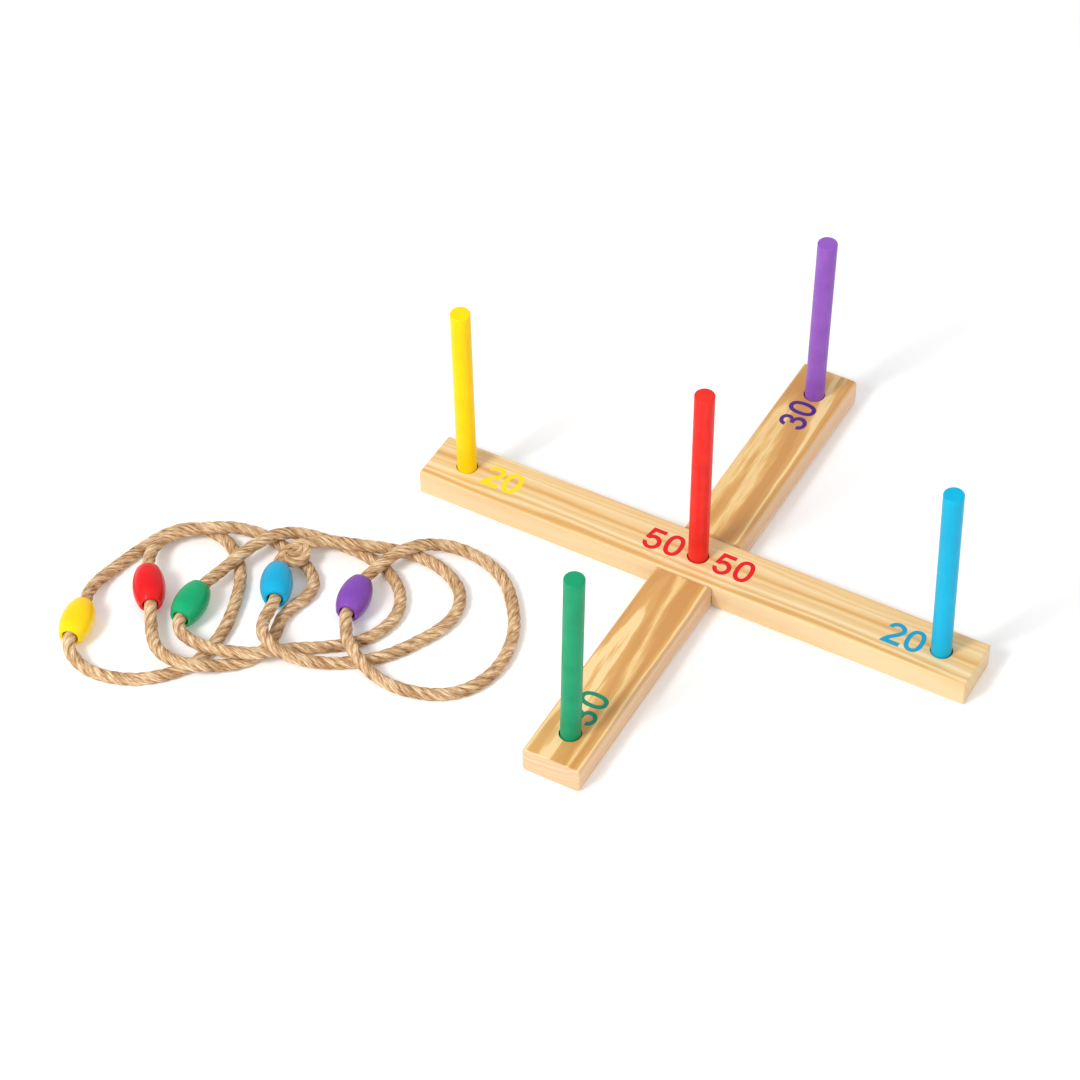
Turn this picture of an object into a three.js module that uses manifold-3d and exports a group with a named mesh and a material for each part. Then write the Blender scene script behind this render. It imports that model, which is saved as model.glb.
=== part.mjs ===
// Ring toss set: a half-lapped pine cross with five pegs, and five rope rings with beads.
// Millimetres, +Z up. The origin is on the ground under the centre of the cross.
import * as THREE from "three";
import { mergeVertices } from "three/addons/utils/BufferGeometryUtils.js";
import Module from "manifold-3d";

const wasm = await Module();
wasm.setup();

// Boards
const boardLength = 500;
const boardWidth = 51;
const boardHeight = 24.5;
const edgeRound = 3.5;
const endBevel = 1.2;
const fitGap = 0.6;

// Half-lap notches
const notchWidth = boardWidth + 2 * fitGap;
const notchDepth = boardHeight / 2 + fitGap / 2;
const notchReach = boardWidth + 20;
const lowerMouthRound = 3;
const upperMouthRound = 7.5;

// Pegs and their holes
const pegDiameter = 16.8;
const pegLength = 198;
const pegBevel = 0.9;
const holeDiameter = 18.2;
const holeFloor = 2;
const holeInset = 32;
const holeReach = boardLength / 2 - holeInset;
const pegFoot = holeFloor + 0.7;

// Rings
const ropeDiameter = 10;
const ropeSides = 8;
const ropeSteps = 60;
const kinkDiameter = 9;
const kinkSteps = 10;
const beadDiameter = 27;
const beadLength = 37;
const beadBore = 13;
const beadCurve = 25;
const beadLip = 0.8;
const beadRows = 8;
const ropeEndGap = 1;

const paint = {
  yellow: 0xf6d30f,
  red: 0xe0262b,
  blue: 0x14b4e0,
  purple: 0x8a52b5,
  green: 0x2fa878,
};

const matte = (color, roughness) => new THREE.MeshStandardMaterial({ color, roughness, metalness: 0 });

const group = new THREE.Group();
group.name = "ring_toss_set";

function addPiece(name, geometry, material) {
  const mesh = new THREE.Mesh(geometry, material);
  mesh.name = name;
  group.add(mesh);
  return mesh;
}

// Stands a piece that was turned about Y on a point, with its Y along an axis
function stand(mesh, point, axis) {
  mesh.position.copy(point);
  mesh.quaternion.setFromUnitVectors(new THREE.Vector3(0, 1, 0), axis);
}

// Closed solid for boolean work
function toSolid(geometry) {
  const bare = new THREE.BufferGeometry();
  bare.setAttribute("position", geometry.getAttribute("position").clone());
  if (geometry.index) {
    bare.setIndex(geometry.index.clone());
  }
  const welded = mergeVertices(bare, 1e-4);
  return new wasm.Manifold(new wasm.Mesh({
    numProp: 3,
    vertProperties: new Float32Array(welded.getAttribute("position").array),
    triVerts: new Uint32Array(welded.index.array),
  }));
}

function toGeometry(solid) {
  const mesh = solid.getMesh();
  const geometry = new THREE.BufferGeometry();
  geometry.setAttribute("position", new THREE.BufferAttribute(new Float32Array(mesh.vertProperties), 3));
  geometry.setIndex(new THREE.BufferAttribute(new Uint32Array(mesh.triVerts), 1));
  geometry.computeVertexNormals();
  return geometry;
}

// Rounded bar lying along one axis, standing on z = 0
function boardBlank(across, along) {
  const w = boardWidth / 2;
  const h = boardHeight;
  const r = edgeRound;
  const section = new THREE.Shape();
  section.moveTo(-w + r, 0);
  section.lineTo(w - r, 0);
  section.absarc(w - r, r, r, -Math.PI / 2, 0, false);
  section.lineTo(w, h - r);
  section.absarc(w - r, h - r, r, 0, Math.PI / 2, false);
  section.lineTo(-w + r, h);
  section.absarc(-w + r, h - r, r, Math.PI / 2, Math.PI, false);
  section.lineTo(-w, r);
  section.absarc(-w + r, r, r, Math.PI, Math.PI * 1.5, false);
  const bar = new THREE.ExtrudeGeometry(section, {
    depth: boardLength - 2 * endBevel,
    bevelEnabled: true,
    bevelThickness: endBevel,
    bevelSize: endBevel,
    bevelOffset: -endBevel,
    bevelSegments: 2,
    curveSegments: 4,
  });
  bar.translate(0, 0, endBevel - boardLength / 2);
  bar.applyMatrix4(new THREE.Matrix4().makeBasis(across, new THREE.Vector3(0, 0, 1), along));
  return toSolid(bar);
}

// Vertical drilled hole from a floor height up through the top face
function drill(x, y, floor) {
  const depth = boardHeight + 10 - floor;
  const bit = new THREE.CylinderGeometry(holeDiameter / 2, holeDiameter / 2, depth, 40);
  bit.rotateX(Math.PI / 2);
  bit.translate(x, y, floor + depth / 2);
  return toSolid(bit);
}

// Cutter for a notch whose mouth is rounded where it meets the board's face. The mouth's middle
// is at the point given, and the notch runs down from it against the direction "out".
function notchCutter(mouthRound, mouth, across, out, through) {
  const w = notchWidth / 2;
  const r = mouthRound;
  const outline = new THREE.Shape();
  outline.moveTo(-w, -notchDepth);
  outline.lineTo(w, -notchDepth);
  outline.lineTo(w, -r);
  outline.absarc(w + r, -r, r, Math.PI, Math.PI / 2, true);
  outline.lineTo(w + r, 1);
  outline.lineTo(-w - r, 1);
  outline.lineTo(-w - r, 0);
  outline.absarc(-w - r, -r, r, Math.PI / 2, 0, true);
  const cutter = new THREE.ExtrudeGeometry(outline, {
    depth: notchReach,
    bevelEnabled: false,
    curveSegments: 5,
  });
  cutter.translate(0, 0, -notchReach / 2);
  cutter.applyMatrix4(new THREE.Matrix4().makeBasis(across, out, through).setPosition(mouth));
  return toSolid(cutter);
}

// Lower board along Y: notch cut from above
const lowerNotch = notchCutter(
  lowerMouthRound,
  new THREE.Vector3(0, 0, boardHeight),
  new THREE.Vector3(0, 1, 0),
  new THREE.Vector3(0, 0, 1),
  new THREE.Vector3(1, 0, 0),
);
const lowerBoard = boardBlank(new THREE.Vector3(-1, 0, 0), new THREE.Vector3(0, 1, 0))
  .subtract(lowerNotch)
  .subtract(drill(0, 0, holeFloor))
  .subtract(drill(0, holeReach, holeFloor))
  .subtract(drill(0, -holeReach, holeFloor));
addPiece("lower_board", toGeometry(lowerBoard), matte(0xdfae6a, 0.55));

// Upper board along X: notch cut from below
const upperNotch = notchCutter(
  upperMouthRound,
  new THREE.Vector3(0, 0, 0),
  new THREE.Vector3(1, 0, 0),
  new THREE.Vector3(0, 0, -1),
  new THREE.Vector3(0, 1, 0),
);
const upperBoard = boardBlank(new THREE.Vector3(0, 1, 0), new THREE.Vector3(1, 0, 0))
  .subtract(upperNotch)
  .subtract(drill(0, 0, 0))
  .subtract(drill(-holeReach, 0, holeFloor))
  .subtract(drill(holeReach, 0, holeFloor));
addPiece("upper_board", toGeometry(upperBoard), matte(0xeccb94, 0.5));

// Dowel pegs: each stands loose in its hole and leans a little, by degrees toward +X and +Y
const pegs = [
  { name: "yellow", x: -holeReach, y: 0, leanX: 0.1, leanY: -1.2 },
  { name: "red", x: 0, y: 0, leanX: -0.55, leanY: 1.65 },
  { name: "purple", x: 0, y: holeReach, leanX: 1.4, leanY: -1.3 },
  { name: "blue", x: holeReach, y: 0, leanX: -1.1, leanY: -0.5 },
  { name: "green", x: 0, y: -holeReach, leanX: 1, leanY: 0.3 },
];

// A leaning peg pivots about the middle of its hole, so it clears the rim and the floor alike
const pegPivot = (boardHeight - pegFoot) / 2;

// Dowel turned about Y, with y = 0 at its pivot
function pegGeometry() {
  const r = pegDiameter / 2;
  const foot = -pegPivot;
  const top = pegLength - pegPivot;
  const profile = [
    new THREE.Vector2(0, foot),
    new THREE.Vector2(r - pegBevel, foot),
    new THREE.Vector2(r, foot + pegBevel),
    new THREE.Vector2(r, top - pegBevel),
    new THREE.Vector2(r - pegBevel / 3, top - pegBevel / 3),
    new THREE.Vector2(r - pegBevel, top),
    new THREE.Vector2(0, top),
  ];
  return new THREE.LatheGeometry(profile, 32);
}

for (const peg of pegs) {
  const mesh = addPiece(`peg_${peg.name}`, pegGeometry(), matte(paint[peg.name], 0.45));
  const axis = new THREE.Vector3(
    Math.tan(THREE.MathUtils.degToRad(peg.leanX)),
    Math.tan(THREE.MathUtils.degToRad(peg.leanY)),
    1,
  ).normalize();
  stand(mesh, new THREE.Vector3(peg.x, peg.y, pegFoot + pegPivot), axis);
}

// Rings. Each bead has a centre, a heading about Z and a pitch, both in degrees. The rope leaves
// the bead's near end, runs round through its points and comes back into the far end. A rope that
// lies on the ground has its centreline at 5.2; where it crosses another it climbs over it.
const rings = [
  {
    name: "yellow",
    bead: { at: [-412.5, -296.5, 13.8], heading: 106, pitch: 0 },
    route: [
      [-400.5, -324.5, 11.8], [-385, -330.5, 7.3], [-369.5, -330, 5.4], [-353.5, -326, 5.2],
      [-339.5, -319.5, 5.2], [-327, -309.5, 5.2], [-316.5, -297.5, 5.2], [-309, -283.5, 5.2],
      [-306.5, -268, 5.2], [-306.5, -252.5, 5.2], [-308.5, -236.5, 5.2], [-312.5, -221.5, 5.2],
      [-317.5, -206.5, 5.2], [-323.5, -192, 5.2], [-332, -178.5, 5.2], [-343, -166.5, 5.2],
      [-356, -157.5, 5.2], [-370.5, -153, 5.2], [-386, -154, 5.2], [-399, -161.5, 5.2],
      [-408.5, -174.5, 5.2], [-414.5, -189.5, 5.2], [-419, -204.5, 5.2], [-423, -220.5, 5.3],
      [-425.5, -235.5, 6.3], [-426, -251.5, 8.9], [-423, -265.5, 12],
    ],
  },
  {
    name: "red",
    bead: { at: [-381, -238.5, 15.6], heading: 126.6, pitch: 5 },
    route: [
      [-362.5, -264.5, 11.9], [-353.5, -276.5, 10.9], [-342.5, -287.5, 12.4], [-329, -294.5, 14.9],
      [-313.5, -295.5, 15.7], [-300, -288.5, 12.2], [-289, -278, 7.9], [-278, -267, 5.6],
      [-269.5, -253.5, 5.2], [-266.5, -238, 5.2], [-269.5, -222.5, 5.2], [-273, -207.5, 5.2],
      [-271.5, -192, 5.2], [-268, -176.5, 5.2], [-271, -162, 5.2], [-281.5, -151.5, 5.2],
      [-296, -144.5, 5.2], [-311, -139.5, 5.2], [-326.5, -137, 5.7], [-341.5, -138.5, 8.6],
      [-354.5, -145, 13.3], [-367.5, -154, 16], [-381.5, -161.5, 14.5], [-394.5, -170, 12],
      [-402.5, -182.5, 11.6], [-403.5, -198, 13.5], [-398.5, -211.5, 16],
    ],
  },
  {
    name: "green",
    bead: { at: [-342.5, -236, 13.8], heading: 97, pitch: 0 },
    route: [
      [-335, -264, 13.9], [-326, -269, 14.5],
      [-314, -271.5, 15.3], [-299.5, -271, 16.1], [-284, -267, 16.3], [-269.5, -260, 15.4],
      [-258.5, -248.5, 11.9], [-248.5, -236, 7.9], [-236.5, -225.5, 5.6],
      [-223, -216, 5.2], [-210, -205.5, 5.2], [-200.5, -193, 5.2], [-194.5, -177.5, 5.2],
      [-193, -161.5, 5.2], [-197.5, -146.5, 5.2], [-207.5, -133, 5.2], [-221, -123.5, 5.2],
      [-236, -117.5, 5.2], [-252, -114.5, 5.2], [-268.5, -114, 5.2], [-284.5, -115.5, 5.8],
      [-299.5, -120, 9], [-312.5, -128.5, 13.6], [-322.5, -141, 16.4], [-329.5, -155.5, 16.6],
      [-334.5, -171.5, 16.1], [-338.5, -187.5, 14.6], [-342.5, -203.5, 13.8],
    ],
  },
  {
    name: "blue",
    bead: { at: [-291.5, -185.5, 15.4], heading: 118, pitch: -4 },
    route: [
      [-279.5, -215.5, 18.2], [-275, -231.5, 20.9], [-266.5, -244, 23.4], [-253.5, -250, 21.7],
      [-240, -247.5, 15.2], [-227.5, -240, 9.1], [-214, -232, 5.8], [-200.5, -223.5, 5.2],
      [-188, -213.5, 5.2], [-177, -201.5, 5.2], [-168.5, -188, 5.2], [-161, -173.5, 5.2],
      [-154.5, -158.5, 5.2], [-151.5, -142.5, 5.2], [-153.5, -126.5, 5.2], [-161, -113, 5.2],
      [-173.5, -103.5, 5.2], [-188, -97.5, 5.2], [-203.5, -95, 5.3], [-219, -96.5, 6.3],
      [-232.5, -103.5, 10.8], [-246, -112, 15.6], [-260.5, -118, 16.4], [-275.5, -122, 15.6],
      [-289.5, -130, 15.8], [-300, -142.5, 16], [-304, -157, 14.7],
    ],
    kink: [
      [-302.5, -155.5, 15], [-296.5, -157.5, 14.6], [-290, -155.5, 14.6], [-286.5, -149, 14.6],
      [-289, -141, 14.9], [-295, -135.5, 15.5],
    ],
  },
  {
    name: "purple",
    bead: { at: [-228.5, -167, 13.9], heading: 102, pitch: -1 },
    route: [
      [-218.5, -196.5, 14.9], [-209.5, -209, 16], [-197.5, -219, 16.1], [-184, -225.5, 12.6],
      [-169.5, -228, 7.7], [-154.5, -228, 5.5], [-139, -225.5, 5.2], [-124, -220.5, 5.2],
      [-111, -212, 5.2], [-101, -200, 5.2], [-95, -185.5, 5.2], [-92.5, -170, 5.2],
      [-93.5, -154.5, 5.2], [-97, -139.5, 5.2], [-103, -124.5, 5.2], [-111, -111.5, 5.2],
      [-120.5, -99, 5.2], [-131.5, -87.5, 5.2], [-144.5, -79, 5.2], [-159, -73.5, 5.2],
      [-174.5, -71.5, 5.5], [-189.5, -74, 7.8], [-202, -82, 12.1], [-212, -93.5, 15.9],
      [-220.5, -106.5, 16.9], [-226.5, -121, 16.1], [-230.5, -136.5, 14.4],
    ],
  },
];

function beadAxis(bead) {
  const heading = THREE.MathUtils.degToRad(bead.heading);
  const pitch = THREE.MathUtils.degToRad(bead.pitch);
  return new THREE.Vector3(
    Math.cos(heading) * Math.cos(pitch),
    Math.sin(heading) * Math.cos(pitch),
    Math.sin(pitch),
  );
}

// Barrel bead with eased lips, turned about Y
function beadGeometry() {
  const half = beadLength / 2;
  const bore = beadBore / 2;
  const face = half - beadLip;
  const outer = (y) => (beadDiameter / 2) * Math.sqrt(1 - (y / beadCurve) ** 2);
  const profile = [
    new THREE.Vector2(bore, -face),
    new THREE.Vector2(bore + beadLip, -half),
    new THREE.Vector2(outer(half) - beadLip, -half),
  ];
  for (let i = 0; i <= beadRows; i += 1) {
    const y = (2 * i / beadRows - 1) * face;
    profile.push(new THREE.Vector2(outer(y), y));
  }
  profile.push(new THREE.Vector2(outer(half) - beadLip, half));
  profile.push(new THREE.Vector2(bore + beadLip, half));
  profile.push(new THREE.Vector2(bore, face));
  profile.push(profile[0].clone());
  return new THREE.LatheGeometry(profile, 24);
}

function tube(points, diameter, sides, steps) {
  const outline = new THREE.Shape();
  for (let i = 0; i < sides; i += 1) {
    const angle = (i / sides) * Math.PI * 2;
    const x = Math.cos(angle) * diameter / 2;
    const y = Math.sin(angle) * diameter / 2;
    if (i === 0) {
      outline.moveTo(x, y);
    } else {
      outline.lineTo(x, y);
    }
  }
  outline.closePath();
  const path = new THREE.CatmullRomCurve3(points, false, "centripetal");
  return new THREE.ExtrudeGeometry(outline, { steps, bevelEnabled: false, extrudePath: path });
}

for (const ring of rings) {
  const axis = beadAxis(ring.bead);
  const centre = new THREE.Vector3(...ring.bead.at);
  const along = (distance) => centre.clone().addScaledVector(axis, distance);

  const bead = addPiece(`bead_${ring.name}`, beadGeometry(), matte(paint[ring.name], 0.3));
  stand(bead, centre, axis);

  const inside = [ropeEndGap, 10, beadLength / 2 + 1];
  const points = [
    ...inside.map((d) => along(-d)),
    ...ring.route.map((p) => new THREE.Vector3(...p)),
    ...inside.reverse().map((d) => along(d)),
  ];
  let rope = tube(points, ropeDiameter, ropeSides, ropeSteps);
  if (ring.kink) {
    const lobe = tube(ring.kink.map((p) => new THREE.Vector3(...p)), kinkDiameter, ropeSides, kinkSteps);
    rope = toGeometry(toSolid(rope).add(toSolid(lobe)));
  }
  addPiece(`rope_${ring.name}`, rope, matte(0xb98d5c, 0.95));
}

export default group;
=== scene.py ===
import math

import bmesh
import bpy
import numpy as np
from mathutils import Matrix, Vector, noise
from mathutils.geometry import tessellate_polygon


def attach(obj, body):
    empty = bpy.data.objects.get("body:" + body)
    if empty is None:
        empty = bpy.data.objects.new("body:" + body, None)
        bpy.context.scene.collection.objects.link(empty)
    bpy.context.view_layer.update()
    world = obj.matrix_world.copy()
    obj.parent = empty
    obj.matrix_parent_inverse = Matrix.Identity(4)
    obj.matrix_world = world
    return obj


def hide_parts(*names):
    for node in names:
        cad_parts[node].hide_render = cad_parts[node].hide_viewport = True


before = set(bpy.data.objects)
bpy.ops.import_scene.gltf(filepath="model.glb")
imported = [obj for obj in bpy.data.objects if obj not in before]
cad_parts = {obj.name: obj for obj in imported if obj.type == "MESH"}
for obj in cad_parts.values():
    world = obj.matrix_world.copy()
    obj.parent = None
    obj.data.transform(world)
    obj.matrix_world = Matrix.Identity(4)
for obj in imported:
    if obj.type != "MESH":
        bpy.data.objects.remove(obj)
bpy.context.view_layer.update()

MM = 0.001
MM_PER_METRE = 1000

# ---------------------------------------------------------------- sizes, in millimetres
BOARD_LENGTH = 500
BOARD_WIDTH = 51
BOARD_HEIGHT = 24.5
EDGE_ROUND = 3.5
END_BEVEL = 1.2
FIT_GAP = 0.6
UPPER_MOUTH_ROUND = 7.5
LOWER_MOUTH_ROUND = 3
HOLE_RADIUS = 9.1
HOLE_EASE = 0.35
HOLE_FLOOR = 2
# From the middle of a board to the holes near its ends
HOLE_REACH = 218
PEG_RADIUS = 8.4
PEG_LENGTH = 198
PEG_EDGE = 0.9
PEG_TOP_DIP = 0.05
# Height of a peg's foot above the ground
PEG_FOOT = 2.7
# The strands' crests stand a little outside the rope's measured radius
ROPE_SKIN_RADIUS = 5.3
# Lowest point of a rope above the ground
ROPE_REST = 0.05
# Length of one full turn of a strand
ROPE_LAY = 31
BEAD_LENGTH = 37
BEAD_RADIUS = 13.5
# Half length of the ellipse that a bead's side follows
BEAD_CURVE = 25
BEAD_BORE_RADIUS = 6.5
BEAD_LIP = 0.8
# From the middle of a bead to each end of its rope
ROPE_END_GAP = 1

# ---------------------------------------------------------------- camera and light
# The camera's axes and lens come from a least-squares fit to the photograph's board ends, holes and
# peg tops. So did its place, which was then moved 2 mm with a second fit, to the boards' edges
CAMERA_PLACE = (0.8372, -1.7415, 2.0428)
CAMERA_RIGHT = Vector((0.87431855, 0.48528513, -0.00808769))
CAMERA_DOWN = Vector((0.34429396, -0.63187331, -0.69440463))
CAMERA_FORWARD = Vector((-0.34209463, 0.60434631, -0.71953929))
CAMERA_LENS = 113.6
SENSOR_WIDTH = 36
KEY_PLACE = (-0.9, -2.2, 2.3)
FILL_PLACE = (2.4, -0.6, 1.8)
WHITE = (1, 1, 1, 1)
WORLD_STRENGTH = 0.72

camera_data = bpy.data.cameras.new("camera")
camera_data.lens = CAMERA_LENS
camera_data.sensor_width = SENSOR_WIDTH
camera_data.clip_start = 0.05
camera_data.clip_end = 50
camera = bpy.data.objects.new("camera", camera_data)
bpy.context.scene.collection.objects.link(camera)
camera_turn = Matrix((CAMERA_RIGHT, -CAMERA_DOWN, -CAMERA_FORWARD)).transposed()
camera.matrix_world = Matrix.Translation(CAMERA_PLACE) @ camera_turn.to_4x4()
bpy.context.scene.camera = camera
bpy.context.scene.view_settings.view_transform = "Standard"


def area_light(name, place, size, power):
    """A white square lamp aimed at the origin; its size in metres and its power in watts."""
    data = bpy.data.lights.new(name, "AREA")
    data.shape = "SQUARE"
    data.size = size
    data.energy = power
    lamp = bpy.data.objects.new(name, data)
    lamp.location = place
    lamp.rotation_euler = (-Vector(place)).to_track_quat("-Z", "Y").to_euler()
    bpy.context.scene.collection.objects.link(lamp)


area_light("key", KEY_PLACE, 0.9, 60)
# A small lamp inside the key, for the sharp glints on beads and pegs
area_light("sparkle", KEY_PLACE, 0.15, 5)
area_light("fill", FILL_PLACE, 2.0, 10)
world = bpy.data.worlds.new("studio")
world.use_nodes = True
backdrop = world.node_tree.nodes["Background"].inputs
backdrop["Color"].default_value = WHITE
backdrop["Strength"].default_value = WORLD_STRENGTH
bpy.context.scene.world = world


# ---------------------------------------------------------------- helpers
def linear(r, g, b):
    """An sRGB colour, 0 to 255, as linear RGBA."""
    out = []
    for c in (r, g, b):
        c /= 255
        out.append(c / 12.92 if c <= 0.04045 else ((c + 0.055) / 1.055) ** 2.4)
    return (*out, 1)


class Shader:
    """A material's node tree, built in short calls."""

    def __init__(self, name):
        self.material = bpy.data.materials.new(name)
        self.material.use_nodes = True
        self.tree = self.material.node_tree
        self.surface = self.tree.nodes["Principled BSDF"]

    def node(self, kind, settings=None, **inputs):
        made = self.tree.nodes.new(kind)
        for key, value in (settings or {}).items():
            setattr(made, key, value)
        for key, value in inputs.items():
            self.feed(made.inputs[key.replace("_", " ")], value)
        return made

    def feed(self, socket, value):
        if isinstance(value, bpy.types.NodeSocket):
            self.tree.links.new(value, socket)
        else:
            socket.default_value = value

    def math(self, operation, *values, clamp=False):
        made = self.node("ShaderNodeMath", {"operation": operation, "use_clamp": clamp})
        for socket, value in zip(made.inputs, values):
            self.feed(socket, value)
        return made.outputs[0]

    def vector(self, operation, *values):
        made = self.node("ShaderNodeVectorMath", {"operation": operation})
        for socket, value in zip(made.inputs, values):
            self.feed(socket, value)
        return made.outputs[0]

    def mix(self, share, a, b):
        """Colour a, with a share of colour b; a mix node's colours are its sockets 6, 7 and 2."""
        made = self.node("ShaderNodeMix", {"data_type": "RGBA"})
        self.feed(made.inputs["Factor"], share)
        self.feed(made.inputs[6], a)
        self.feed(made.inputs[7], b)
        return made.outputs[2]

    def part(self, value, share):
        return self.math("MULTIPLY", value, share)

    def centred(self, value, share):
        """A noise value moved to swing about zero, times a share."""
        return self.part(self.math("SUBTRACT", value, 0.5), share)

    def ramp(self, value, *stops):
        made = self.node("ShaderNodeValToRGB")
        elements = made.color_ramp.elements
        while len(elements) < len(stops):
            elements.new(0.5)
        for element, (place, colour) in zip(elements, stops):
            element.position = place
            element.color = colour
        self.feed(made.inputs[0], value)
        return made.outputs["Color"]

    def noise(self, where, scale, detail=2, roughness=0.5, stretch=None):
        if stretch:
            where = self.vector("MULTIPLY", where, stretch)
        kind = "ShaderNodeTexNoise"
        made = self.node(kind, Vector=where, Scale=scale, Detail=detail, Roughness=roughness)
        return made.outputs[0]

    def bump(self, height, distance, strength=1.0):
        kind = "ShaderNodeBump"
        return self.node(kind, Height=height, Distance=distance, Strength=strength).outputs[0]

    def attribute(self, name, output="Fac"):
        return self.node("ShaderNodeAttribute", {"attribute_name": name}).outputs[output]

    def place(self):
        return self.node("ShaderNodeTexCoord").outputs["Object"]

    def finish(self, **sockets):
        for key, value in sockets.items():
            self.feed(self.surface.inputs[key.replace("_", " ")], value)
        return self.material


def mesh_object(name, points, faces, material, smooth=True):
    mesh = bpy.data.meshes.new(name)
    mesh.from_pydata([tuple(p) for p in points], [], faces)
    mesh.polygons.foreach_set("use_smooth", [smooth] * len(mesh.polygons))
    mesh.materials.append(material)
    mesh.update()
    made = bpy.data.objects.new(name, mesh)
    bpy.context.scene.collection.objects.link(made)
    return made


def add_values(piece, name, values):
    """A number for each vertex, for the material to read."""
    kind = "FLOAT_VECTOR" if np.ndim(values) == 2 else "FLOAT"
    field = "vector" if kind == "FLOAT_VECTOR" else "value"
    layer = piece.data.attributes.new(name, kind, "POINT")
    layer.data.foreach_set(field, np.asarray(values, np.float32).ravel())


# ---------------------------------------------------------------- wood
def along_axis(along, share):
    """Stretches a pattern along X or Y, by scaling that axis with a small share."""
    return (share, 1, 1) if along == "X" else (1, share, 1)


def pine(name, along, pith, ring, wave, stops, raw_and_shading, seed):
    """Sawn pine: growth rings round a pith line, fibre streaks along the board, and sides and ends in
    raw sawn tone mixed with painted shade.

    pith is the pith line's place across and up, with its drift along the board; ring is the
    spacing of the rings; wave is how far a long sway and a short ripple push them, all in
    millimetres. The side colour, with its share, goes on upright faces: partly the raw sawn
    wood's own tone, partly painted shade and light that sets the sides and ends apart from the top.
    """
    s = Shader(name)
    place = s.vector("MULTIPLY", s.place(), (MM_PER_METRE,) * 3)
    parts = s.node("ShaderNodeSeparateXYZ", Vector=place).outputs
    across = parts["Y" if along == "X" else "X"]
    shifted = s.vector("ADD", place, (seed, seed * 1.7, 0))
    sway = s.noise(shifted, scale=0.045, detail=1, stretch=along_axis(along, 0.1))
    ripple = s.noise(shifted, scale=0.3, detail=2, stretch=along_axis(along, 0.1))
    dx = s.math("SUBTRACT", across, pith[0])
    dz = s.math("SUBTRACT", parts["Z"], pith[1])
    far = s.math("SQRT", s.math("ADD", s.math("MULTIPLY", dx, dx), s.math("MULTIPLY", dz, dz)))
    far = s.math("ADD", far, s.part(parts[along], pith[2]))
    far = s.math("ADD", far, s.centred(sway, wave[0]))
    far = s.math("ADD", far, s.centred(ripple, wave[1]))
    bands = s.node("ShaderNodeTexNoise", {"noise_dimensions": "1D"}, Detail=1.5, Roughness=0.45)
    s.feed(bands.inputs["W"], s.math("DIVIDE", s.math("ADD", far, seed), ring))
    s.feed(bands.inputs["Scale"], 1.0)
    fibre = s.noise(place, scale=2.6, detail=3, roughness=0.6, stretch=along_axis(along, 0.03))
    tone = s.math("ADD", bands.outputs[0], s.centred(fibre, 0.14))
    colour = s.ramp(tone, *stops)
    # Upright faces take the side colour: partly raw sawn tone, partly painted shade and light that sets
    # them apart from the top
    normal = s.node("ShaderNodeTexCoord").outputs["Normal"]
    facing = s.node("ShaderNodeSeparateXYZ", Vector=normal).outputs
    upward = s.math("MULTIPLY", facing["Z"], facing["Z"])
    side = s.math("SUBTRACT", 1.0, upward, clamp=True)
    colour = s.mix(s.part(side, raw_and_shading[0]), colour, raw_and_shading[1])
    relief = s.math("ADD", s.part(fibre, 0.6), s.part(tone, 0.4))
    return s.finish(
        Base_Color=colour,
        Roughness=s.math("ADD", 0.36, s.part(fibre, 0.16)),
        Normal=s.bump(relief, distance=0.00025, strength=0.6),
        Coat_Weight=0.12,
        Coat_Roughness=0.3,
    )


PINE_UPPER = pine(
    "pine_upper",
    along="X",
    pith=(110, 60, 0.0),
    ring=6.4,
    wave=(15, 3.2),
    stops=(
        (0.30, linear(216, 166, 96)),
        (0.44, linear(226, 186, 122)),
        (0.56, linear(235, 202, 148)),
        (0.70, linear(241, 214, 168)),
    ),
    # Sides and ends: raw sawn tone, set darker than the top as painted shade
    raw_and_shading=(0.75, linear(226, 192, 143)),
    seed=31.0,
)
PINE_LOWER = pine(
    "pine_lower",
    along="Y",
    pith=(-11, 91, 0.012),
    ring=3.1,
    wave=(8, 1.8),
    stops=(
        (0.34, linear(200, 144, 78)),
        (0.52, linear(212, 160, 90)),
        (0.61, linear(224, 180, 110)),
        (0.68, linear(238, 206, 148)),
    ),
    # Sides and ends: raw sawn tone, set paler than the top as painted light
    raw_and_shading=(0.6, linear(232, 194, 162)),
    seed=12.0,
)


# ---------------------------------------------------------------- jute
def jute():
    """Jute fibre that follows the strands' lay, with painted shade darkening the grooves between
    strands, and a few blotches.
    """
    s = Shader("jute")
    where = s.attribute("rope_place", "Vector")
    groove_shade = s.attribute("groove_shade")
    fibre = s.noise(where, scale=980, detail=3, roughness=0.65, stretch=(0.2, 1, 1))
    yarn = s.noise(where, scale=460, detail=2, stretch=(0.14, 1, 1))
    blotch = s.noise(where, scale=55, detail=2)
    tone = s.math("ADD", s.part(fibre, 0.6), s.part(yarn, 0.4))
    tone = s.math("ADD", 0.5, s.centred(tone, 1.65))
    # Painted shade: the tone falls towards the valleys between the strands
    tone = s.math("SUBTRACT", tone, s.part(s.math("POWER", groove_shade, 4), 0.17))
    tone = s.math("ADD", tone, s.centred(blotch, 0.35))
    colour = s.ramp(
        tone,
        (0.16, linear(112, 76, 46)),
        (0.36, linear(170, 130, 90)),
        (0.52, linear(205, 168, 126)),
        (0.72, linear(242, 218, 182)),
    )
    height = s.math("ADD", s.part(fibre, 0.5), s.part(yarn, 0.5))
    return s.finish(
        Base_Color=colour,
        Roughness=0.78,
        Normal=s.bump(height, distance=0.0009),
        Specular_IOR_Level=0.25,
    )


JUTE = jute()


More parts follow.
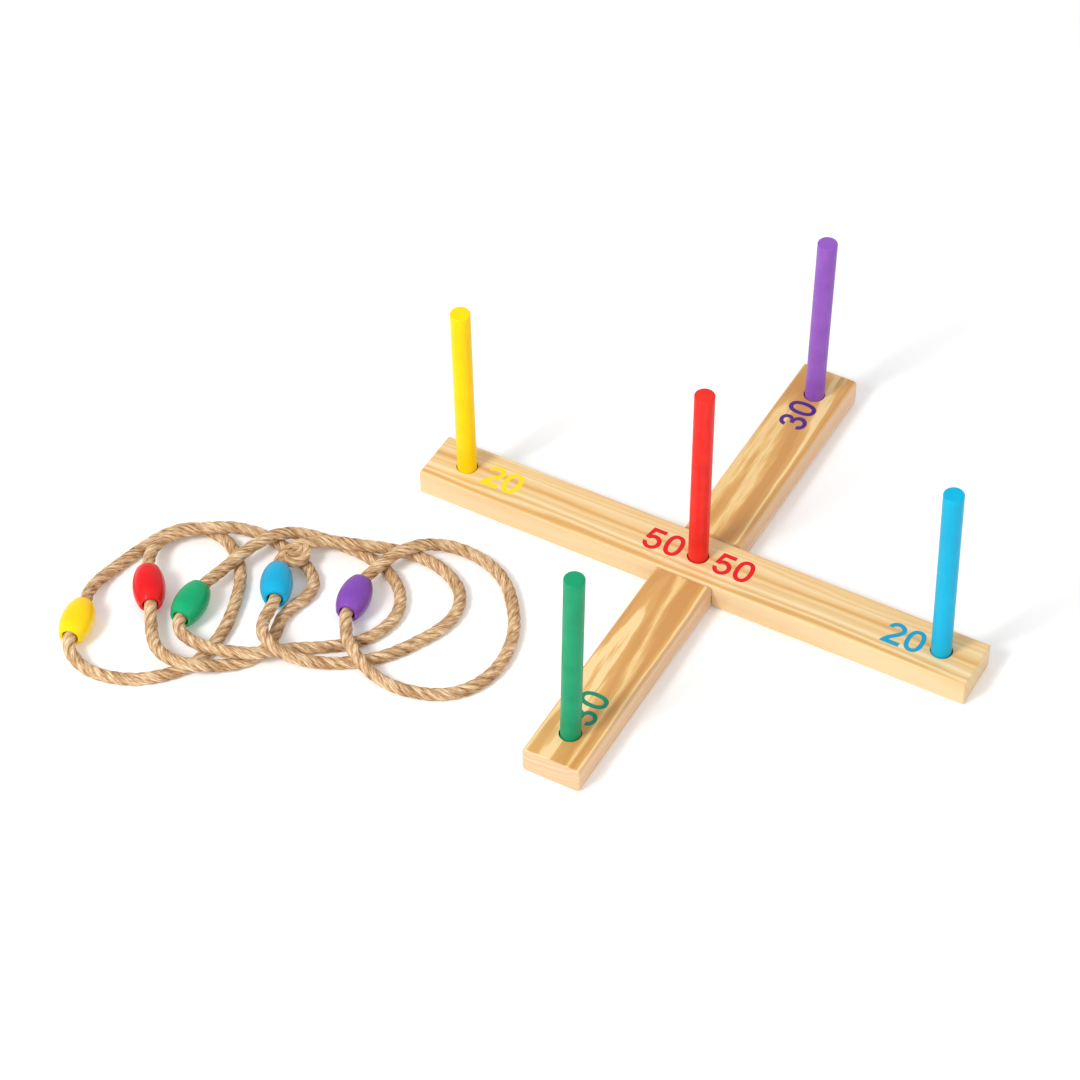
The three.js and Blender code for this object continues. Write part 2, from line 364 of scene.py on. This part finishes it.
# ---------------------------------------------------------------- solids
def lathe(profile, sides):
    """Points and faces of a turned solid about Z; the profile's ends lie on the axis or meet."""
    closed = profile[0] != profile[-1]
    points, faces, rows = [], [], []
    for radius, height in profile if closed else profile[:-1]:
        if radius == 0:
            rows.append([len(points)] * sides)
            points.append((0, 0, height))
            continue
        rows.append([len(points) + k for k in range(sides)])
        for k in range(sides):
            a = 2 * math.pi * k / sides
            points.append((radius * math.cos(a), radius * math.sin(a), height))
    if not closed:
        rows.append(rows[0])
    for low, high in zip(rows, rows[1:]):
        for k in range(sides):
            n = (k + 1) % sides
            corners = [low[k], low[n], high[n], high[k]]
            kept = [c for i, c in enumerate(corners) if c not in corners[:i]]
            faces.append(tuple(kept))
    return points, faces


def placed(points, matrix):
    return [matrix @ Vector(p) for p in points]


def cut(piece, cutters):
    """Takes the cutters out of a piece, and leaves a plain mesh with its flat faces shaded flat."""
    for cutter in cutters:
        step = piece.modifiers.new("cut", "BOOLEAN")
        step.operation = "DIFFERENCE"
        step.solver = "EXACT"
        step.object = cutter
    step = piece.modifiers.new("shade", "WEIGHTED_NORMAL")
    step.keep_sharp = True
    bake(piece)
    for cutter in cutters:
        bpy.data.objects.remove(cutter)


def bake(piece):
    """Turns a piece's modifiers into its mesh."""
    graph = bpy.context.evaluated_depsgraph_get()
    mesh = bpy.data.meshes.new_from_object(piece.evaluated_get(graph), depsgraph=graph)
    piece.modifiers.clear()
    piece.data = mesh


def turn_along(axis, place):
    """A move that lays Z along an axis at a place."""
    return Matrix.Translation(place) @ Vector(axis).to_track_quat("Z", "Y").to_matrix().to_4x4()


CORNER_POINTS = 12
LEAST_CORNER_ROUND = 0.4
END_STATIONS = 6
MOUTH_STEPS = 12
HOLE_SIDES = 72
SHARP_BOARD = math.radians(40)
SHARP_TURNED = math.radians(50)


def rounded_section(inset):
    """A board's section, a rounded rectangle standing on z = 0, drawn in by an inset."""
    w, low, high = BOARD_WIDTH / 2 - inset, inset, BOARD_HEIGHT - inset
    r = max(EDGE_ROUND - inset, LEAST_CORNER_ROUND)
    corners = (
        (w - r, low + r, -90),
        (w - r, high - r, 0),
        (r - w, high - r, 90),
        (r - w, low + r, 180),
    )
    out = []
    for cx, cz, start in corners:
        for k in range(CORNER_POINTS):
            a = math.radians(start + 90 * k / (CORNER_POINTS - 1))
            out.append((cx + r * math.cos(a), cz + r * math.sin(a)))
    return out


def board_blank(name, across, along, material):
    """A rounded bar with eased ends."""
    half, ease = BOARD_LENGTH / 2, END_BEVEL
    stations = []
    for k in range(END_STATIONS):
        a = math.radians(90 * k / (END_STATIONS - 1))
        stations.append((ease * (1 - math.sin(a)), half - ease + ease * math.cos(a)))
    ends = [(inset, -place) for inset, place in stations] + stations[::-1]
    points, faces = [], []
    for inset, place in ends:
        for u, z in rounded_section(inset):
            spot = Vector(across) * u + Vector(along) * place
            points.append((spot.x * MM, spot.y * MM, z * MM))
    n = 4 * CORNER_POINTS
    for i in range(len(ends) - 1):
        for j in range(n):
            k = (j + 1) % n
            faces.append((i * n + j, i * n + k, i * n + n + k, i * n + n + j))
    faces.append(tuple(range(n))[::-1])
    faces.append(tuple((len(ends) - 1) * n + j for j in range(n)))
    return mesh_object(name, points, faces, material)


def notch_cutter(mouth, across, out, through, mouth_round, material):
    """The other board's half of the lap joint with its gap, flared at the mouth."""
    w, r, depth = BOARD_WIDTH / 2 + FIT_GAP, mouth_round, BOARD_HEIGHT / 2 + FIT_GAP / 2
    above, beyond = 1, 10
    outline = [(-w, -depth), (w, -depth)]
    for k in range(MOUTH_STEPS + 1):
        a = math.radians(180 - 90 * k / MOUTH_STEPS)
        outline.append((w + r + r * math.cos(a), -r + r * math.sin(a)))
    outline += [(w + r, above), (-w - r, above)]
    for k in range(MOUTH_STEPS + 1):
        a = math.radians(90 - 90 * k / MOUTH_STEPS)
        outline.append((-w - r + r * math.cos(a), -r + r * math.sin(a)))
    reach = BOARD_WIDTH / 2 + beyond
    points = []
    for place in (-reach, reach):
        for u, v in outline:
            spot = Vector(mouth) + Vector(across) * u + Vector(out) * v + Vector(through) * place
            points.append(spot * MM)
    n = len(outline)
    faces = [tuple(range(n))[::-1], tuple(range(n, 2 * n))]
    faces += [(j, (j + 1) % n, n + (j + 1) % n, n + j) for j in range(n)]
    return mesh_object("notch", points, faces, material)


def hole_cutter(x, y, floor_height, material):
    """A drill with a small countersink that eases the rim."""
    top, ease, above = BOARD_HEIGHT, HOLE_EASE, 4
    profile = [
        (0, floor_height),
        (HOLE_RADIUS, floor_height),
        (HOLE_RADIUS, top - ease),
        (HOLE_RADIUS + 0.3 * ease, top - 0.3 * ease),
        (HOLE_RADIUS + ease, top),
        (HOLE_RADIUS + ease, top + above),
        (0, top + above),
    ]
    points, faces = lathe(profile, HOLE_SIDES)
    moved = placed(points, Matrix.Scale(MM, 4) @ Matrix.Translation((x, y, 0)))
    return mesh_object("hole", moved, faces, material)


def make_board(name, along, holes, mouth, out, mouth_round, material):
    """A board with its holes, and with a notch that opens at its mouth towards out."""
    across = (0, 1, 0) if along == (1, 0, 0) else (-1, 0, 0)
    board = board_blank(name, across, along, material)
    board.data.set_sharp_from_angle(angle=SHARP_BOARD)
    through = Vector(along).cross(Vector(out))
    cutters = [notch_cutter(mouth, along, out, through, mouth_round, material)]
    cutters += [hole_cutter(x, y, floor_height, material) for x, y, floor_height in holes]
    for cutter in cutters:
        cutter.data.set_sharp_from_angle(angle=SHARP_BOARD)
    cut(board, cutters)
    return board


upper = make_board(
    "pine_upper",
    along=(1, 0, 0),
    holes=[(0, 0, 0), (-HOLE_REACH, 0, HOLE_FLOOR), (HOLE_REACH, 0, HOLE_FLOOR)],
    mouth=(0, 0, 0),
    out=(0, 0, -1),
    mouth_round=UPPER_MOUTH_ROUND,
    material=PINE_UPPER,
)
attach(upper, "upper_board")
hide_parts("upper_board")
lower = make_board(
    "pine_lower",
    along=(0, 1, 0),
    holes=[(0, 0, HOLE_FLOOR), (0, -HOLE_REACH, HOLE_FLOOR), (0, HOLE_REACH, HOLE_FLOOR)],
    mouth=(0, 0, BOARD_HEIGHT),
    out=(0, 0, 1),
    mouth_round=LOWER_MOUTH_ROUND,
    material=PINE_LOWER,
)
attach(lower, "lower_board")
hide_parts("lower_board")


# ---------------------------------------------------------------- paint
def paint(name, colour, roughness, coat, grain, dark):
    """Paint over turned wood: faint grain along the turning axis, uneven tone and gloss."""
    s = Shader(name)
    where = s.attribute("turned_place", "Vector")
    grain_lines = s.noise(where, scale=900, detail=3, roughness=0.6, stretch=(1, 1, 0.05))
    blotch = s.noise(where, scale=45, detail=2)
    shade = s.math("ADD", s.part(grain_lines, 0.3), s.part(blotch, 0.7))
    return s.finish(
        Base_Color=s.ramp(shade, (0.3, dark), (0.6, colour)),
        Roughness=s.math("ADD", roughness, s.part(blotch, 0.08)),
        Normal=s.bump(grain_lines, distance=grain, strength=0.5),
        Coat_Weight=coat,
        Coat_Roughness=0.1,
        Specular_IOR_Level=0.1,
    )


# Painted colour, then its darker tone
PEG_PAINT = {
    "yellow": (linear(254, 215, 2), linear(249, 201, 0)),
    "red": (linear(236, 44, 37), linear(216, 35, 31)),
    "green": (linear(22, 152, 105), linear(14, 138, 92)),
    "blue": (linear(0, 176, 216), linear(0, 164, 206)),
    "purple": (linear(146, 90, 188), linear(132, 78, 176)),
}
BEAD_PAINT = {
    "yellow": (linear(252, 210, 0), linear(245, 196, 0)),
    "red": (linear(228, 18, 24), linear(208, 11, 20)),
    "green": (linear(6, 166, 108), linear(2, 150, 96)),
    "blue": (linear(0, 169, 212), linear(0, 157, 202)),
    "purple": (linear(130, 72, 174), linear(116, 60, 162)),
}

# Each peg's hole, then its lean towards X and towards Y in degrees
PEGS = {
    "yellow": (-HOLE_REACH, 0, 0.1, -1.2),
    "red": (0, 0, -0.55, 1.65),
    "purple": (0, HOLE_REACH, 1.4, -1.3),
    "blue": (HOLE_REACH, 0, -1.1, -0.5),
    "green": (0, -HOLE_REACH, 1, 0.3),
}
# A peg leans about the middle of its hole, this far above its foot
PEG_PIVOT = (BOARD_HEIGHT - PEG_FOOT) / 2
PEG_SIDES = 72
PEG_RINGS = 20
PEG_EDGE_STEPS = 4


def turned(name, profile, sides, axis, centre, material):
    """A turned solid on its axis, with its own straight coordinates for the grain."""
    points, faces = lathe(profile, sides)
    moved = placed(points, Matrix.Scale(MM, 4) @ turn_along(axis, centre))
    piece = mesh_object(name, moved, faces, material)
    add_values(piece, "turned_place", np.array(points) * MM)
    piece.data.set_sharp_from_angle(angle=SHARP_TURNED)
    return piece


def peg_profile():
    """A straight dowel with a bevelled foot, a rounded top edge and a slightly sunk top."""
    foot, top, edge = -PEG_PIVOT, PEG_LENGTH - PEG_PIVOT, PEG_EDGE
    straight = top - foot - 2 * edge
    profile = [(0, foot), (PEG_RADIUS - edge, foot), (PEG_RADIUS, foot + edge)]
    for k in range(1, PEG_RINGS + 1):
        profile.append((PEG_RADIUS, foot + straight * k / PEG_RINGS + edge))
    for k in range(1, PEG_EDGE_STEPS + 1):
        a = math.radians(90 * k / PEG_EDGE_STEPS)
        profile.append((PEG_RADIUS - edge * (1 - math.cos(a)), top - edge + edge * math.sin(a)))
    return profile + [(PEG_RADIUS / 2, top - PEG_TOP_DIP), (0, top - PEG_TOP_DIP)]


for peg_name, (x, y, lean_x, lean_y) in PEGS.items():
    axis = Vector((math.tan(math.radians(lean_x)), math.tan(math.radians(lean_y)), 1)).normalized()
    centre = (x, y, PEG_FOOT + PEG_PIVOT)
    colour, dark = PEG_PAINT[peg_name]
    coat = paint(f"paint_{peg_name}", colour, roughness=0.38, coat=0.15, grain=0.0002, dark=dark)
    peg = turned(f"dowel_{peg_name}", peg_profile(), PEG_SIDES, axis, centre, coat)
    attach(peg, f"peg_{peg_name}")
    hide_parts(f"peg_{peg_name}")


# ---------------------------------------------------------------- score numbers
def arc(centre, radii, start, end, steps=28):
    """Points on an ellipse from one angle to another, in degrees, either way round."""
    out = []
    for k in range(steps + 1):
        a = math.radians(start + (end - start) * k / steps)
        out.append((centre[0] + radii[0] * math.cos(a), centre[1] + radii[1] * math.sin(a)))
    return out


def squared_oval(centre, radii, power=2.35, steps=64):
    """Points on an oval; a power above 2 squares its corners."""
    out = []
    for k in range(steps):
        c, s = math.cos(2 * math.pi * k / steps), math.sin(2 * math.pi * k / steps)
        x = math.copysign(abs(c) ** (2 / power), c)
        y = math.copysign(abs(s) ** (2 / power), s)
        out.append((centre[0] + radii[0] * x, centre[1] + radii[1] * y))
    return out


# Each digit is drawn 24 mm tall from its lower left corner: an outline, then any holes
DIGITS = {
    "0": [
        squared_oval((7.9, 12.1), (7.9, 12.1)),
        squared_oval((7.9, 12.1), (4, 8.3)),
    ],
    "2": [
        arc((8.5, 17.2), (7.8, 7), 180, -20)
        + [(15.5, 14), (13.4, 11), (9.9, 8), (7.2, 5.6), (6.7, 4.3), (16.3, 4.3), (16.3, 0)]
        + [(-0.1, 0), (0, 1.2), (1.1, 4), (4, 8), (8.2, 11.8), (10.8, 14.4)]
        + arc((8.4, 17.1), (3.8, 3.1), -25, 180),
    ],
    "3": [
        arc((7.1, 18), (6.9, 6.2), 185, -35)
        + [(11.9, 13.3), (11.7, 13)]
        + arc((7.6, 7.3), (7.8, 7.3), 50, -177)
        + arc((7.6, 7.3), (3.6, 3.7), -176, 84)
        + [(5.5, 11.1), (5.5, 14.8)]
        + arc((7.1, 17.8), (3.1, 2.9), -75, 185),
    ],
    "5": [
        [(15, 24), (2.6, 24), (0.3, 11.2), (4.2, 10.6)]
        + arc((8, 8.1), (4, 4.3), 142, -172)
        + arc((8.1, 8.25), (7.9, 8.25), 186, 478)
        + [(5.8, 19.9), (15, 19.9)],
    ],
}

ALONG_X = (1, 0)
ALONG_Y = (0, 1)
YELLOW_INK = (250, 214, 0)
RED_INK = (222, 8, 22)
BLUE_INK = (0, 156, 194)
GREEN_INK = (10, 130, 100)
PURPLE_INK = (80, 36, 128)
# Board, ink, reading direction, then each digit with its lower left corner and its tilt in degrees
SCORES = {
    "yellow": ("upper_board", YELLOW_INK, ALONG_X, [("2", -200.3, -12.1, 0), ("0", -182, -12.1, 0)]),
    "red_left": ("upper_board", RED_INK, ALONG_X, [("5", -48.6, -12.1, 0), ("0", -29.8, -11.6, 2)]),
    "red_right": ("upper_board", RED_INK, ALONG_X, [("5", 15, -10.8, 0), ("0", 33.5, -10.5, 1)]),
    "blue": ("upper_board", BLUE_INK, ALONG_X, [("2", 169.4, -13.4, 0), ("0", 187.6, -13.4, 0)]),
    "green": ("lower_board", GREEN_INK, ALONG_Y, [("3", 12.2, -205.6, 0), ("0", 12.2, -187, 0)]),
    "purple": ("lower_board", PURPLE_INK, ALONG_Y, [("3", 10.9, 171.7, 0), ("0", 10.9, 189.6, 0)]),
}
# How far a digit's slab stands out of the board's top and how far it sinks in
INK_PROUD = 0.05
INK_DEPTH = 0.15


def ink(name, colour, reading):
    """Thin opaque ink that dulls slightly where the wood's fibres show through."""
    s = Shader(name)
    where = s.place()
    grain = "X" if reading == ALONG_X else "Y"
    fibre = s.noise(where, scale=2400, detail=3, roughness=0.6, stretch=along_axis(grain, 0.06))
    patch = s.noise(where, scale=220, detail=2)
    worn = s.math("ADD", s.part(fibre, 0.6), s.part(patch, 0.4))
    pale = [c * 0.93 + 0.03 for c in colour[:3]] + [1]
    return s.finish(
        Base_Color=s.ramp(worn, (0.5, colour), (0.75, pale)),
        Roughness=s.math("ADD", 0.36, s.part(patch, 0.12)),
        Normal=s.bump(fibre, distance=0.00012, strength=0.5),
        Specular_IOR_Level=0.3,
    )


def printed_score(name, board, colour, reading, digits):
    """Digits as closed slabs half sunk in a board's top face."""
    points, faces = [], []
    low, high = BOARD_HEIGHT - INK_DEPTH, BOARD_HEIGHT + INK_PROUD
    for digit, corner_x, corner_y, tilt in digits:
        turn = math.atan2(reading[1], reading[0]) + math.radians(tilt)
        c, s = math.cos(turn), math.sin(turn)
        loops = DIGITS[digit]
        first = len(points)
        for height in (low, high):
            for u, v in (spot for loop in loops for spot in loop):
                x, y = corner_x + u * c - v * s, corner_y + u * s + v * c
                points.append((x * MM, y * MM, height * MM))
        count = sum(len(loop) for loop in loops)
        flat = [[Vector((u, v, 0)) for u, v in loop] for loop in loops]
        for a, b, d in tessellate_polygon(flat):
            faces.append((first + a, first + b, first + d))
            faces.append((first + count + a, first + count + d, first + count + b))
        start = first
        for loop in loops:
            for k in range(len(loop)):
                a, b = start + k, start + (k + 1) % len(loop)
                faces.append((a, b, b + count, a + count))
            start += len(loop)
    piece = mesh_object(name, points, faces, ink(name, linear(*colour), reading), smooth=False)
    step = bmesh.new()
    step.from_mesh(piece.data)
    bmesh.ops.recalc_face_normals(step, faces=step.faces)
    step.to_mesh(piece.data)
    step.free()
    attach(piece, board)


for score_name, (board, colour, reading, digits) in SCORES.items():
    printed_score(f"score_{score_name}", board, colour, reading, digits)


# ---------------------------------------------------------------- ropes
STRANDS = 3
ROPE_STEP = 0.9
# A strand's own radius and its distance from the rope's middle, as shares of the rope's radius
STRAND_RADIUS = 0.78
STRAND_OFFSET = 0.22
SPLINE_STEP = 0.02


def spline(points, step):
    """A centripetal Catmull-Rom curve through the points, sampled evenly."""
    p = np.array(points, float)
    p = np.vstack([2 * p[0] - p[1], p, 2 * p[-1] - p[-2]])
    fine = []
    for i in range(1, len(p) - 2):
        gaps = [math.sqrt(np.linalg.norm(p[i + k] - p[i + k - 1])) for k in (0, 1, 2)]
        a, b, c = gaps
        before = (p[i] - p[i - 1]) / a - (p[i + 1] - p[i - 1]) / (a + b)
        start = (before + (p[i + 1] - p[i]) / b) * b
        after = (p[i + 1] - p[i]) / b - (p[i + 2] - p[i]) / (b + c)
        end = (after + (p[i + 2] - p[i + 1]) / c) * b
        for t in np.arange(0, 1, SPLINE_STEP):
            fine.append(
                (2 * t**3 - 3 * t**2 + 1) * p[i]
                + (t**3 - 2 * t**2 + t) * start
                + (3 * t**2 - 2 * t**3) * p[i + 1]
                + (t**3 - t**2) * end
            )
    fine.append(p[-2])
    fine = np.array(fine)
    along = np.r_[0, np.cumsum(np.linalg.norm(np.diff(fine, axis=0), axis=1))]
    count = int(round(along[-1] / step)) + 1
    wanted = np.linspace(0, along[-1], count)
    return np.stack([np.interp(wanted, along, fine[:, k]) for k in range(3)], axis=1)


def frames(line):
    """Side and up at each point, turned as little as possible along the line."""
    tangent = np.gradient(line, axis=0)
    tangent /= np.linalg.norm(tangent, axis=1)[:, None]
    side = np.cross(tangent[0], (0, 0, 1))
    side /= np.linalg.norm(side)
    sides = [side]
    for t in tangent[1:]:
        side = sides[-1] - t * (sides[-1] @ t)
        sides.append(side / np.linalg.norm(side))
    sides = np.array(sides)
    return sides, np.cross(sides, tangent)


def laid_rope(name, route, radius, lay, seed, sides=60):
    """A rope of three strands with a right-hand lay, as one closed skin along its route.

    Slow noise along the rope drifts its twist, swells it and thickens single strands.
    """
    line = spline(route, ROPE_STEP)
    side, up = frames(line)
    along = np.r_[0, np.cumsum(np.linalg.norm(np.diff(line, axis=0), axis=1))]
    offset, strand = STRAND_OFFSET * radius, STRAND_RADIUS * radius
    rows, places, grooves = [], [], []
    angles = np.linspace(0, 2 * math.pi, sides, endpoint=False)
    sector = 2 * math.pi / STRANDS
    for i, centre in enumerate(line):
        s = along[i]
        drift = noise.noise(Vector((s * 0.02, seed, 0))) * 0.7
        turn = drift - 2 * math.pi * s / lay
        swell = 1 + 0.035 * noise.noise(Vector((s * 0.045, seed, 5)))
        local = angles - turn
        number = np.round(local / sector)
        away = local - number * sector
        grow = np.array(
            [noise.noise(Vector((s * 0.06, seed, 11 + 3 * (k % STRANDS)))) for k in number]
        )
        reach = offset * np.cos(away) + np.sqrt(strand**2 - (offset * np.sin(away)) ** 2)
        reach = reach * (swell + 0.04 * grow)
        ring = (
            centre
            + np.outer(reach * np.cos(angles), side[i])
            + np.outer(reach * np.sin(angles), up[i])
        )
        ring[:, 2] = np.maximum(ring[:, 2], ROPE_REST)
        rows.append(ring)
        # The fibres' coordinates turn with about half of the lay
        half = angles - 0.55 * turn
        places.append(
            np.stack([np.full(sides, s), radius * np.cos(half), radius * np.sin(half)], 1)
        )
        # How deep each point sits between strands, for the painted shade in the grooves
        grooves.append(np.abs(away) / (sector / 2))
    count = len(line)
    faces = []
    for i in range(count - 1):
        for j in range(sides):
            k = (j + 1) % sides
            a, b = i * sides, (i + 1) * sides
            faces.append((a + j, a + k, b + k, b + j))
    faces.append(tuple(range(sides))[::-1])
    faces.append(tuple((count - 1) * sides + j for j in range(sides)))
    piece = mesh_object(name, np.vstack(rows) * MM, faces, JUTE)
    add_values(piece, "rope_place", np.vstack(places) * MM)
    add_values(piece, "groove_shade", np.concatenate(grooves))
    return piece, line * MM, along[-1] * MM


# Each bead's middle, heading and pitch in degrees, then its rope's way round back to the bead.
# The routes repeat part.mjs: rope lines read off the photograph, which a scratch program laid on the
# ground through the fitted camera, lifted clear of each other, spaced evenly and rounded.
RINGS = {
    "yellow": {
        "bead": ((-412.5, -296.5, 13.8), 106, 0),
        "route": [
            (-400.5, -324.5, 11.8), (-385, -330.5, 7.3), (-369.5, -330, 5.4), (-353.5, -326, 5.2),
            (-339.5, -319.5, 5.2), (-327, -309.5, 5.2), (-316.5, -297.5, 5.2), (-309, -283.5, 5.2),
            (-306.5, -268, 5.2), (-306.5, -252.5, 5.2), (-308.5, -236.5, 5.2), (-312.5, -221.5, 5.2),
            (-317.5, -206.5, 5.2), (-323.5, -192, 5.2), (-332, -178.5, 5.2), (-343, -166.5, 5.2),
            (-356, -157.5, 5.2), (-370.5, -153, 5.2), (-386, -154, 5.2), (-399, -161.5, 5.2),
            (-408.5, -174.5, 5.2), (-414.5, -189.5, 5.2), (-419, -204.5, 5.2), (-423, -220.5, 5.3),
            (-425.5, -235.5, 6.3), (-426, -251.5, 8.9), (-423, -265.5, 12),
        ],
    },
    "red": {
        "bead": ((-381, -238.5, 15.6), 126.6, 5),
        "route": [
            (-362.5, -264.5, 11.9), (-353.5, -276.5, 10.9), (-342.5, -287.5, 12.4), (-329, -294.5, 14.9),
            (-313.5, -295.5, 15.7), (-300, -288.5, 12.2), (-289, -278, 7.9), (-278, -267, 5.6),
            (-269.5, -253.5, 5.2), (-266.5, -238, 5.2), (-269.5, -222.5, 5.2), (-273, -207.5, 5.2),
            (-271.5, -192, 5.2), (-268, -176.5, 5.2), (-271, -162, 5.2), (-281.5, -151.5, 5.2),
            (-296, -144.5, 5.2), (-311, -139.5, 5.2), (-326.5, -137, 5.7), (-341.5, -138.5, 8.6),
            (-354.5, -145, 13.3), (-367.5, -154, 16), (-381.5, -161.5, 14.5), (-394.5, -170, 12),
            (-402.5, -182.5, 11.6), (-403.5, -198, 13.5), (-398.5, -211.5, 16),
        ],
    },
    "green": {
        "bead": ((-342.5, -236, 13.8), 97, 0),
        "route": [
            (-335, -264, 13.9), (-326, -269, 14.5), (-314, -271.5, 15.3),
            (-299.5, -271, 16.1), (-284, -267, 16.3), (-269.5, -260, 15.4),
            (-258.5, -248.5, 11.9), (-248.5, -236, 7.9), (-236.5, -225.5, 5.6),
            (-223, -216, 5.2), (-210, -205.5, 5.2), (-200.5, -193, 5.2), (-194.5, -177.5, 5.2),
            (-193, -161.5, 5.2), (-197.5, -146.5, 5.2), (-207.5, -133, 5.2), (-221, -123.5, 5.2),
            (-236, -117.5, 5.2), (-252, -114.5, 5.2), (-268.5, -114, 5.2), (-284.5, -115.5, 5.8),
            (-299.5, -120, 9), (-312.5, -128.5, 13.6), (-322.5, -141, 16.4), (-329.5, -155.5, 16.6),
            (-334.5, -171.5, 16.1), (-338.5, -187.5, 14.6), (-342.5, -203.5, 13.8),
        ],
    },
    "blue": {
        "bead": ((-291.5, -185.5, 15.4), 118, -4),
        "route": [
            (-279.5, -215.5, 18.2), (-275, -231.5, 20.9), (-266.5, -244, 23.4), (-253.5, -250, 21.7),
            (-240, -247.5, 15.2), (-227.5, -240, 9.1), (-214, -232, 5.8), (-200.5, -223.5, 5.2),
            (-188, -213.5, 5.2), (-177, -201.5, 5.2), (-168.5, -188, 5.2), (-161, -173.5, 5.2),
            (-154.5, -158.5, 5.2), (-151.5, -142.5, 5.2), (-153.5, -126.5, 5.2), (-161, -113, 5.2),
            (-173.5, -103.5, 5.2), (-188, -97.5, 5.2), (-203.5, -95, 5.3), (-219, -96.5, 6.3),
            (-232.5, -103.5, 10.8), (-246, -112, 15.6), (-260.5, -118, 16.4), (-275.5, -122, 15.6),
            (-289.5, -130, 15.8), (-300, -142.5, 16), (-304, -157, 14.7),
        ],
    },
    "purple": {
        "bead": ((-228.5, -167, 13.9), 102, -1),
        "route": [
            (-218.5, -196.5, 14.9), (-209.5, -209, 16), (-197.5, -219, 16.1), (-184, -225.5, 12.6),
            (-169.5, -228, 7.7), (-154.5, -228, 5.5), (-139, -225.5, 5.2), (-124, -220.5, 5.2),
            (-111, -212, 5.2), (-101, -200, 5.2), (-95, -185.5, 5.2), (-92.5, -170, 5.2),
            (-93.5, -154.5, 5.2), (-97, -139.5, 5.2), (-103, -124.5, 5.2), (-111, -111.5, 5.2),
            (-120.5, -99, 5.2), (-131.5, -87.5, 5.2), (-144.5, -79, 5.2), (-159, -73.5, 5.2),
            (-174.5, -71.5, 5.5), (-189.5, -74, 7.8), (-202, -82, 12.1), (-212, -93.5, 15.9),
            (-220.5, -106.5, 16.9), (-226.5, -121, 16.1), (-230.5, -136.5, 14.4),
        ],
    },
}
# A strand that popped out of the blue rope beside its bead: an outer lobe and one inside it
KINK = [
    (-303.5, -156, 15), (-297.5, -158.5, 14.8), (-291, -156.5, 14.8), (-287.5, -150, 14.8),
    (-289.5, -142, 15), (-295.5, -136, 15.5),
]
KINK_INNER = [
    (-302.5, -150.5, 16.5), (-298, -152.5, 16.5), (-294, -149.5, 16.3), (-294, -144, 16.2),
    (-298.5, -138.5, 16.5),
]


KINK_LAY = 44
KINK_SEED = 91.3
BEAD_SIDES = 96
BEAD_ROWS = 32
LIP_STEPS = 5
LIP_SPREAD = 1.6
# Where a rope's route runs straight inside its bead, from the bead's middle outwards
INSIDE_BEAD = (ROPE_END_GAP, 10, BEAD_LENGTH / 2 + 1)


def bead_axis(heading, pitch):
    h, p = math.radians(heading), math.radians(pitch)
    return np.array((math.cos(h) * math.cos(p), math.sin(h) * math.cos(p), math.sin(p)))


def bead_profile():
    """A barrel bead with eased lips and a bore."""
    half, lip, bore = BEAD_LENGTH / 2, BEAD_LIP, BEAD_BORE_RADIUS
    out = []
    for k in range(BEAD_ROWS + 1):
        y = (2 * k / BEAD_ROWS - 1) * (half - lip)
        out.append((BEAD_RADIUS * math.sqrt(1 - (y / BEAD_CURVE) ** 2), y))
    edge = out[-1][0]
    for k in range(1, LIP_STEPS + 1):
        a = math.radians(90 * k / LIP_STEPS)
        out.append((edge - lip * LIP_SPREAD * (1 - math.cos(a)), half - lip + lip * math.sin(a)))
    out += [(bore + lip, half), (bore + 0.3 * lip, half - 0.3 * lip), (bore, half - lip)]
    lower_side = [(radius, -y) for radius, y in out[::-1] if y > half - lip]
    profile = [(bore, lip - half)] + lower_side + out
    return profile + [profile[0]]


for number, (ring_name, ring) in enumerate(RINGS.items()):
    centre, heading, pitch = ring["bead"]
    axis = bead_axis(heading, pitch)
    route = [centre - axis * d for d in INSIDE_BEAD]
    route += [np.array(p) for p in ring["route"]]
    route += [centre + axis * d for d in reversed(INSIDE_BEAD)]
    colour, dark = BEAD_PAINT[ring_name]
    lacquer = paint(
        f"lacquer_{ring_name}", colour, roughness=0.3, coat=0.4, grain=0.00006, dark=dark
    )
    bead = turned(f"barrel_{ring_name}", bead_profile(), BEAD_SIDES, axis, centre, lacquer)
    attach(bead, f"ring_{ring_name}")
    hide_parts(f"bead_{ring_name}")
    rope_seed = 3.7 * number
    rope, line, length = laid_rope(
        f"jute_{ring_name}", route, ROPE_SKIN_RADIUS, ROPE_LAY, rope_seed
    )
    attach(rope, f"ring_{ring_name}")
    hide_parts(f"rope_{ring_name}")
    if ring_name == "blue":
        kinks = (("jute_kink", KINK, 4.4), ("jute_kink_inner", KINK_INNER, 3.2))
        for kink_name, bend, thick in kinks:
            kink, _, _ = laid_rope(kink_name, bend, thick, KINK_LAY, KINK_SEED, sides=40)
            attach(kink, "ring_blue")

# ---------------------------------------------------------------- floor
FLOOR_REACH = 30
PAPER_DARK = (0.9, 0.9, 0.9, 1)
PAPER_PALE = (0.92, 0.92, 0.92, 1)
# The faint glow keeps the shadows as light as in the photograph
FLOOR_GLOW = 0.1

floor = Shader("floor")
floor_grain = floor.noise(floor.place(), scale=3, detail=2)
floor_material = floor.finish(
    Base_Color=floor.ramp(floor_grain, (0.3, PAPER_DARK), (0.7, PAPER_PALE)),
    Roughness=0.9,
    Emission_Color=WHITE,
    Emission_Strength=FLOOR_GLOW,
)
corner_signs = ((-1, -1), (1, -1), (1, 1), (-1, 1))
ground = mesh_object(
    "ground",
    [(FLOOR_REACH * x, FLOOR_REACH * y, 0) for x, y in corner_signs],
    [(0, 1, 2, 3)],
    floor_material,
)
